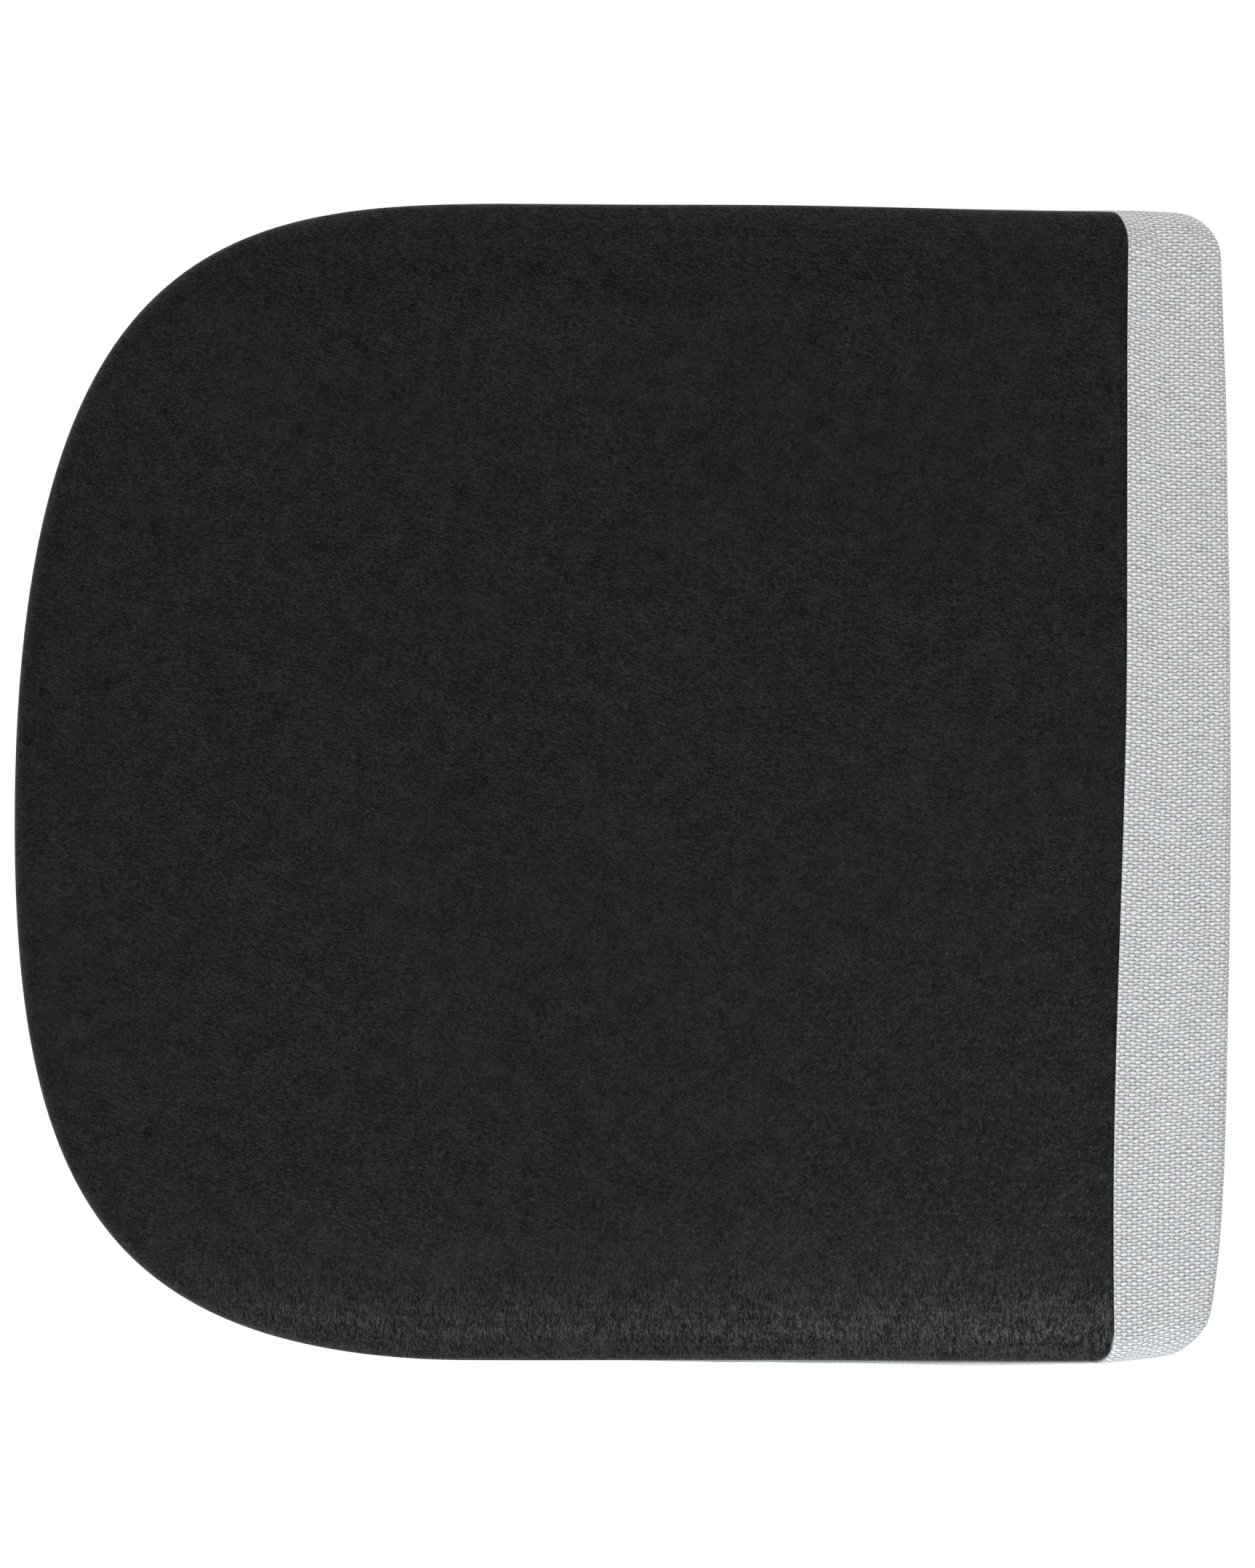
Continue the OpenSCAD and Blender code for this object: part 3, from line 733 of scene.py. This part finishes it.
def lie_of_fibres(s, side, height, brushed):
    """Brightness of the fibres: level at the left, aslant at the lower right, brushed at the bottom."""
    patch = s.spread(s.noise(s.place((17, 17, 17)), detail=2), 0.35, 0.65, -0.5, 0.5)
    right = s.spread(side, -60 * MM, 60 * MM)
    low = s.spread(height, 20 * MM, -60 * MM)
    slant = s.maths("ADD", s.maths("MULTIPLY", right, low), patch)
    level = s.between(slant, strands(s, 1.35), strands(s, -0.75))
    cross = s.between(patch, strands(s, 0.95), strands(s, -0.3))
    edge = s.spread(height, -120 * MM, BRUSHED_Z, 0.0, 0.75)
    value = s.between(edge, s.between(0.4, level, cross), brushed)
    cloud = s.spread(s.noise(s.place((210, 210, 210)), detail=3, roughness=0.6), 0.3, 0.7, -0.1, 0.1)
    grain = s.spread(s.noise(s.place((2400, 2400, 2400)), detail=1), 0.3, 0.7, -0.12, 0.12)
    return s.maths("ADD", value, s.maths("ADD", cloud, grain))


def shine_of_rim(s, height, tail):
    """How much the fibres shine where the lower rim rolls away, most of all at the right."""
    rim = s.add("Attribute", attribute_name="rim").outputs["Fac"]
    turned = s.maths("MULTIPLY", s.spread(rim, 0.4, 0.8, 1.0, 0.0), s.spread(tail, 0, 1, 0.5, 1.35))
    return s.maths("MULTIPLY", s.spread(height, -112 * MM, BRUSHED_Z, 0.03, 0.36), turned)


def hairs_and_painted_glints(s, height, tail):
    """Single light hairs in clumps, brightened as painted glints: more of them towards the bottom and the
    right, where light catches the fibres.
    """
    painted_glint_low = s.spread(height, 40 * MM, -120 * MM, 0.1, 1.0)
    clumps = s.spread(s.noise(s.place((700, 700, 700)), detail=1), 0.5, 0.62)
    hair = s.maths("MULTIPLY", strands(s, -0.6, across=1900, along=520, width=0.02), clumps)
    return s.maths("MULTIPLY", s.maths("MULTIPLY", hair, painted_glint_low), s.spread(tail, 0, 1, 0.35, 1.0))


def face_cloth():
    """Needled black fibre with a sheen where it is brushed over the lower rim, and light hairs with
    painted glints.
    """
    s = Shader("face_cloth")
    part = s.add("SeparateXYZ", {0: s.place()})
    side = part.outputs[0]
    height = s.maths("SUBTRACT", part.outputs[2], PAD_Z)
    tail = s.spread(side, 10 * MM, 110 * MM)
    brushed = strands(s, 0.0, across=2200, along=330, width=0.06)
    value = lie_of_fibres(s, side, height, brushed)
    glint = s.maths("MULTIPLY", brushed, shine_of_rim(s, height, tail))
    # Light hairs with painted glints, mixed into the base colour: bright and bluish towards the lower
    # right.
    hair = s.maths("MULTIPLY", hairs_and_painted_glints(s, height, tail), 0.8)
    colour = s.colour(value, grey(0.0034, warm=1.06, cool=0.95), grey(0.0205, warm=1.05, cool=0.96))
    colour = s.colour(hair, colour, grey(0.075, cool=1.08))
    gloss = s.maths("MULTIPLY_ADD", glint, 0.4, s.spread(value, 0.0, 1.0, 0.015, 0.125))
    return s.finish(Base_Color=colour, Roughness=0.45, Specular_IOR_Level=gloss,
                    Normal=s.bump(value, 0.00005, 0.5))


THREAD_ALONG = 1.96 * MM   # from one thin thread of the canvas to the next
THREAD_ROWS = 0.91 * MM    # from one fat thread to the next


def thread(s, own, crossing, sign):
    """Height of a thread: its round section times the wave that it makes over the others."""
    section = s.maths("POWER", s.maths("ABSOLUTE", own), 0.45)
    over = s.maths("MULTIPLY", s.maths("SIGN", own), crossing)
    wave = s.maths("POWER", s.maths("MULTIPLY_ADD", over, 0.499 * sign, 0.5), 0.7)
    return s.maths("MULTIPLY", section, wave)


def weave_places(s, uv):
    """Where a point lies in the weave, counted in threads, with the unevenness of a coarse cloth."""
    part = s.add("SeparateXYZ", {0: uv})
    at = s.place()
    drift = s.maths("SUBTRACT", s.noise(at, 55, 2), 0.5)
    jitter = s.maths("SUBTRACT", s.noise(at, 420, 1), 0.5)
    other = s.maths("SUBTRACT", s.noise(at, 700, 2), 0.5)
    row = s.maths("ADD", s.maths("DIVIDE", part.outputs[0], THREAD_ROWS),
                  s.maths("ADD", s.maths("MULTIPLY", drift, 2.2), s.maths("MULTIPLY", jitter, 0.9)))
    column = s.maths("ADD", s.maths("DIVIDE", part.outputs[1], THREAD_ALONG),
                     s.maths("ADD", s.maths("MULTIPLY", drift, 0.9), s.maths("MULTIPLY", other, 0.9)))
    return row, column


def canvas_colour(s, uv, shown):
    """Grey from the painted shade in the gaps to the threads, with slubs, fine hairs and a faint tint."""
    stretched = s.add("VectorMath", {0: uv, 1: (1100, 90, 1)}, operation="MULTIPLY").outputs[0]
    slub = s.noise(stretched, detail=2)
    hair = s.noise(s.place((3000, 3000, 3000)), detail=1)
    # Painted shade: the gaps between threads are dark grey, the threads light.
    tone = s.maths("MULTIPLY_ADD", s.maths("SUBTRACT", slub, 0.5), 0.45, s.spread(shown, 0.22, 0.78))
    tone = s.maths("MULTIPLY_ADD", s.maths("SUBTRACT", hair, 0.5), 0.25, tone)
    tone = s.add("Clamp", {0: tone}).outputs[0]
    tint = s.add("TexNoise", {"Vector": s.place(), "Scale": 330.0, "Detail": 1.0}).outputs["Color"]
    node = s.add("Mix", data_type="RGBA", blend_type="OVERLAY")
    s.put(node.inputs[0], 0.07)
    s.put(node.inputs[6], s.colour(tone, (0.13, 0.133, 0.133, 1), (0.592, 0.592, 0.584, 1)))
    s.put(node.inputs[7], tint)
    return node.outputs[2]


def canvas():
    """Coarse plain weave: fat threads across the gusset pass over and under thin ones, with painted shade
    in the gaps and under each fat thread.
    """
    s = Shader("canvas")
    uv = s.add("UVMap", uv_map="cloth").outputs[0]
    row, column = weave_places(s, uv)
    wave_row = s.maths("SINE", s.maths("MULTIPLY", row, math.pi))
    wave_column = s.maths("SINE", s.maths("MULTIPLY", column, math.pi))
    weft = thread(s, wave_row, wave_column, 1)
    warp = thread(s, wave_column, wave_row, -1)
    height = s.maths("MAXIMUM", weft, s.maths("MULTIPLY", warp, 0.7))
    # Painted shade: each fat thread is lighter on its upper side and darker on its lower side, as if lit
    # from above.
    shaded = s.maths("SINE", s.maths("MULTIPLY", row, 2 * math.pi))
    shown = s.maths("MAXIMUM", weft, s.maths("MULTIPLY", warp, 0.6))
    shown = s.maths("MULTIPLY_ADD", shaded, 0.12, shown)
    return s.finish(Base_Color=canvas_colour(s, uv, shown), Roughness=0.85, Specular_IOR_Level=0.2,
                    Normal=s.bump(height, 0.0003, 0.8))


def bonded_cloth():
    """Thin black bonded cloth with a faint dimpled print and loose fibres."""
    s = Shader("dust_cloth")
    dots = s.add("TexVoronoi", {"Vector": s.place((1, 0.2, 1)), "Scale": 700.0, "Randomness": 0.3})
    dimple = s.spread(dots.outputs["Distance"], 0.0, 0.5)
    fibre = s.spread(s.noise(s.place((900, 200, 120), 0.7), detail=2), 0.45, 0.75)
    cross = s.spread(s.noise(s.place((900, 200, 120), -0.6), detail=2), 0.45, 0.75)
    value = s.maths("ADD", s.maths("MULTIPLY", dimple, 0.4), s.maths("MAXIMUM", fibre, cross))
    colour = s.colour(s.spread(value, 0, 1.4), grey(0.009), grey(0.026))
    return s.finish(Base_Color=colour, Roughness=0.72, Specular_IOR_Level=0.3,
                    Normal=s.bump(value, 0.0001, 0.6))


def drawn_aluminium():
    s = Shader("rail_metal")
    lines = s.noise(s.place((18, 2600, 2600)), detail=3, roughness=0.6)
    cloud = s.noise(s.place((35, 35, 35)), detail=3)
    colour = s.colour(cloud, (0.44, 0.45, 0.465, 1), (0.60, 0.605, 0.615, 1))
    colour = s.colour(s.spread(lines, 0.35, 0.65, 0.0, 0.35), colour, (0.30, 0.31, 0.32, 1))
    rough = s.maths("ADD", s.spread(lines, 0.3, 0.7, 0.24, 0.42), s.spread(cloud, 0.4, 0.7, 0.0, 0.1))
    return s.finish(Base_Color=colour, Metallic=1.0, Roughness=rough, Normal=s.bump(lines, 0.00002, 0.6))


def plated(name, dark, light, rough):
    s = Shader(name)
    cloud = s.noise(s.place((220, 220, 220)), detail=4, roughness=0.6)
    scuff = s.spread(s.noise(s.place((1500, 1500, 180), 0.5), detail=2), 0.5, 0.75)
    colour = s.colour(s.spread(cloud, 0.3, 0.7), dark, light)
    level = s.maths("ADD", s.spread(cloud, 0.3, 0.7, rough, rough + 0.14), s.maths("MULTIPLY", scuff, 0.1))
    return s.finish(Base_Color=colour, Metallic=1.0, Roughness=level, Normal=s.bump(scuff, 0.00003, 0.5))


def rubber():
    s = Shader("bumper_rubber")
    dust = s.noise(s.place((140, 140, 140)), detail=5, roughness=0.65)
    grain = s.noise(s.place((1800, 1800, 1800)), detail=1)
    colour = s.colour(s.spread(dust, 0.35, 0.75), grey(0.012), grey(0.035, warm=1.05))
    rough = s.spread(dust, 0.3, 0.7, 0.55, 0.8)
    return s.finish(Base_Color=colour, Roughness=rough, Specular_IOR_Level=0.35,
                    Normal=s.bump(grain, 0.00006, 0.6))


def plywood():
    """Birch ply: long grain on the faces and alternating plies on the edge."""
    s = Shader("plywood")
    grain = s.noise(s.place((420, 420, 14)), detail=4, roughness=0.65)
    rings = s.noise(s.place((60, 60, 5)), detail=2)
    face = s.colour(s.spread(grain, 0.3, 0.7), (0.42, 0.27, 0.14, 1), (0.66, 0.48, 0.29, 1))
    face = s.colour(s.spread(rings, 0.45, 0.75, 0, 0.5), face, (0.36, 0.21, 0.10, 1))
    depth = s.add("SeparateXYZ", {0: s.place()}).outputs[1]
    ply = s.maths("SINE", s.maths("MULTIPLY", depth, math.pi / (1.33 * MM)))
    colour = s.colour(s.spread(ply, -0.3, 0.3, 0.0, 0.35), face, (0.30, 0.17, 0.08, 1))
    return s.finish(Base_Color=colour, Roughness=0.7, Specular_IOR_Level=0.3,
                    Normal=s.bump(grain, 0.00008, 0.6))


def foam(name, dark, light, cell):
    s = Shader(name)
    cells = s.add("TexVoronoi", {"Vector": s.place(), "Scale": 1 / cell})
    depth = s.spread(cells.outputs["Distance"], 0.0, 0.7)
    cloud = s.noise(s.place((90, 90, 90)), detail=3)
    value = s.maths("ADD", s.maths("MULTIPLY", depth, 0.7), s.maths("MULTIPLY", cloud, 0.3))
    return s.finish(Base_Color=s.colour(value, light, dark), Roughness=0.9, Specular_IOR_Level=0.15,
                    Normal=s.bump(depth, cell * 0.3, 0.8))


def fluff():
    s = Shader("wadding")
    tufts = s.noise(s.place((900, 900, 120), 0.6), detail=4, roughness=0.7)
    cloud = s.noise(s.place((160, 160, 160)), detail=4)
    value = s.maths("ADD", s.maths("MULTIPLY", tufts, 0.6), s.maths("MULTIPLY", cloud, 0.4))
    colour = s.colour(s.spread(value, 0.3, 0.7), grey(0.66), grey(0.86))
    return s.finish(Base_Color=colour, Roughness=0.95, Sheen_Weight=0.3, Specular_IOR_Level=0.1,
                    Normal=s.bump(value, 0.0006, 0.8))


def wear(piece, material):
    """Gives a visual piece or a CAD node its material."""
    if piece.material_slots:
        for place in piece.material_slots:
            place.material = material
    else:
        piece.data.materials.append(material)


# ---- Build ----

finishes = {
    "rail_metal": drawn_aluminium(),
    "zinc": plated("zinc", (0.50, 0.52, 0.55, 1), (0.70, 0.71, 0.72, 1), 0.26),
    "dark_steel": plated("dark_steel", grey(0.035), grey(0.09), 0.36),
    "bumper_rubber": rubber(),
    "plywood": plywood(),
    "firm_foam": foam("firm_foam", grey(0.05), grey(0.14), 0.5 * MM),
    "soft_foam": foam("soft_foam", (0.55, 0.46, 0.26, 1), (0.88, 0.80, 0.56, 1), 0.8 * MM),
    "wadding": fluff(),
    "face_cloth": face_cloth(),
    "canvas": canvas(),
    "dust_cloth": bonded_cloth(),
}

face_skin = make_face_cover()
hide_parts("face_cover")
wear(face_skin, finishes["face_cloth"])

gusset_skin = make_gusset()
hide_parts("gusset_cover")
wear(gusset_skin, finishes["canvas"])

dust_skin = make_dust_cover()
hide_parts("dust_cover")
wear(dust_skin, finishes["dust_cloth"])

wear(make_core(), finishes["soft_foam"])
wear(make_base(), finishes["firm_foam"])
wear(make_strip(), finishes["firm_foam"])
wear(make_wadding(), finishes["wadding"])

for part in frame["record"]["subparts"]:
    node = frame["nodes"][part["node"]]
    if not node.hide_render:
        wear(node, finishes[part["material_slot"]])

# ---- Stage ----

def make_floor(drop):
    """A plain pale floor well below the pad, which hangs."""
    bpy.ops.mesh.primitive_plane_add(size=28, location=(0, -6, first_lo[2] - drop))
    floor = bpy.context.object
    floor.name = "floor"
    s = Shader("floor")
    tone = s.noise(s.place((2, 2, 2)), detail=2)
    s.finish(Base_Color=s.colour(tone, grey(0.955), grey(0.975)), Roughness=0.9)
    floor.data.materials.append(s.material)


def make_light(name, place, aim, size, power, colour=(1, 1, 1)):
    data = bpy.data.lights.new(name, "AREA")
    data.shape = "RECTANGLE"
    data.size, data.size_y = size
    data.energy = power
    data.color = colour
    lamp = bpy.data.objects.new(name, data)
    bpy.context.scene.collection.objects.link(lamp)
    lamp.location = place
    lamp.rotation_mode = "QUATERNION"
    lamp.rotation_quaternion = (Vector(aim) - Vector(place)).to_track_quat("-Z", "Y")


make_floor(1.1)
middle = Vector((0, FACE_Y, PAD_Z))
make_light("top_box", (0.35, -0.45, 1.15), middle, (1.1, 0.7), 6.0)
low_aim = middle + Vector((0.05, 0, -0.12))
make_light("low_box", (0.06, -0.90, -0.92), low_aim, (0.4, 0.3), 14.0, (0.80, 0.90, 1.0))

world = bpy.data.worlds.new("studio")
world.use_nodes = True
world.node_tree.nodes["Background"].inputs["Color"].default_value = (1, 1, 1, 1)
world.node_tree.nodes["Background"].inputs["Strength"].default_value = 1.0
bpy.context.scene.world = world
bpy.context.scene.view_settings.view_transform = "Standard"

# ---- Camera ----

AZIMUTH = math.radians(8)
ELEVATION = math.radians(1)
DISTANCE = 2.0
VIEW_HEIGHT = 0.4053       # what the picture's long side covers at the pad
AIM_RIGHT = 5 * MM         # how far right of the pad's middle the camera aims

back = Vector((math.sin(AZIMUTH) * math.cos(ELEVATION), -math.cos(AZIMUTH) * math.cos(ELEVATION),
               math.sin(ELEVATION)))
camera_data = bpy.data.cameras.new("camera")
camera_data.sensor_fit = "AUTO"
camera_data.sensor_width = 36
camera_data.lens = 36 * DISTANCE / VIEW_HEIGHT
camera_data.clip_start = 0.05
camera_data.clip_end = 30
camera = bpy.data.objects.new("camera", camera_data)
bpy.context.scene.collection.objects.link(camera)
aside = Vector((math.cos(AZIMUTH), math.sin(AZIMUTH), 0)) * AIM_RIGHT
camera.location = middle + aside + back * DISTANCE
camera.rotation_mode = "QUATERNION"
camera.rotation_quaternion = (-back).to_track_quat("-Z", "Y")
bpy.context.scene.camera = camera
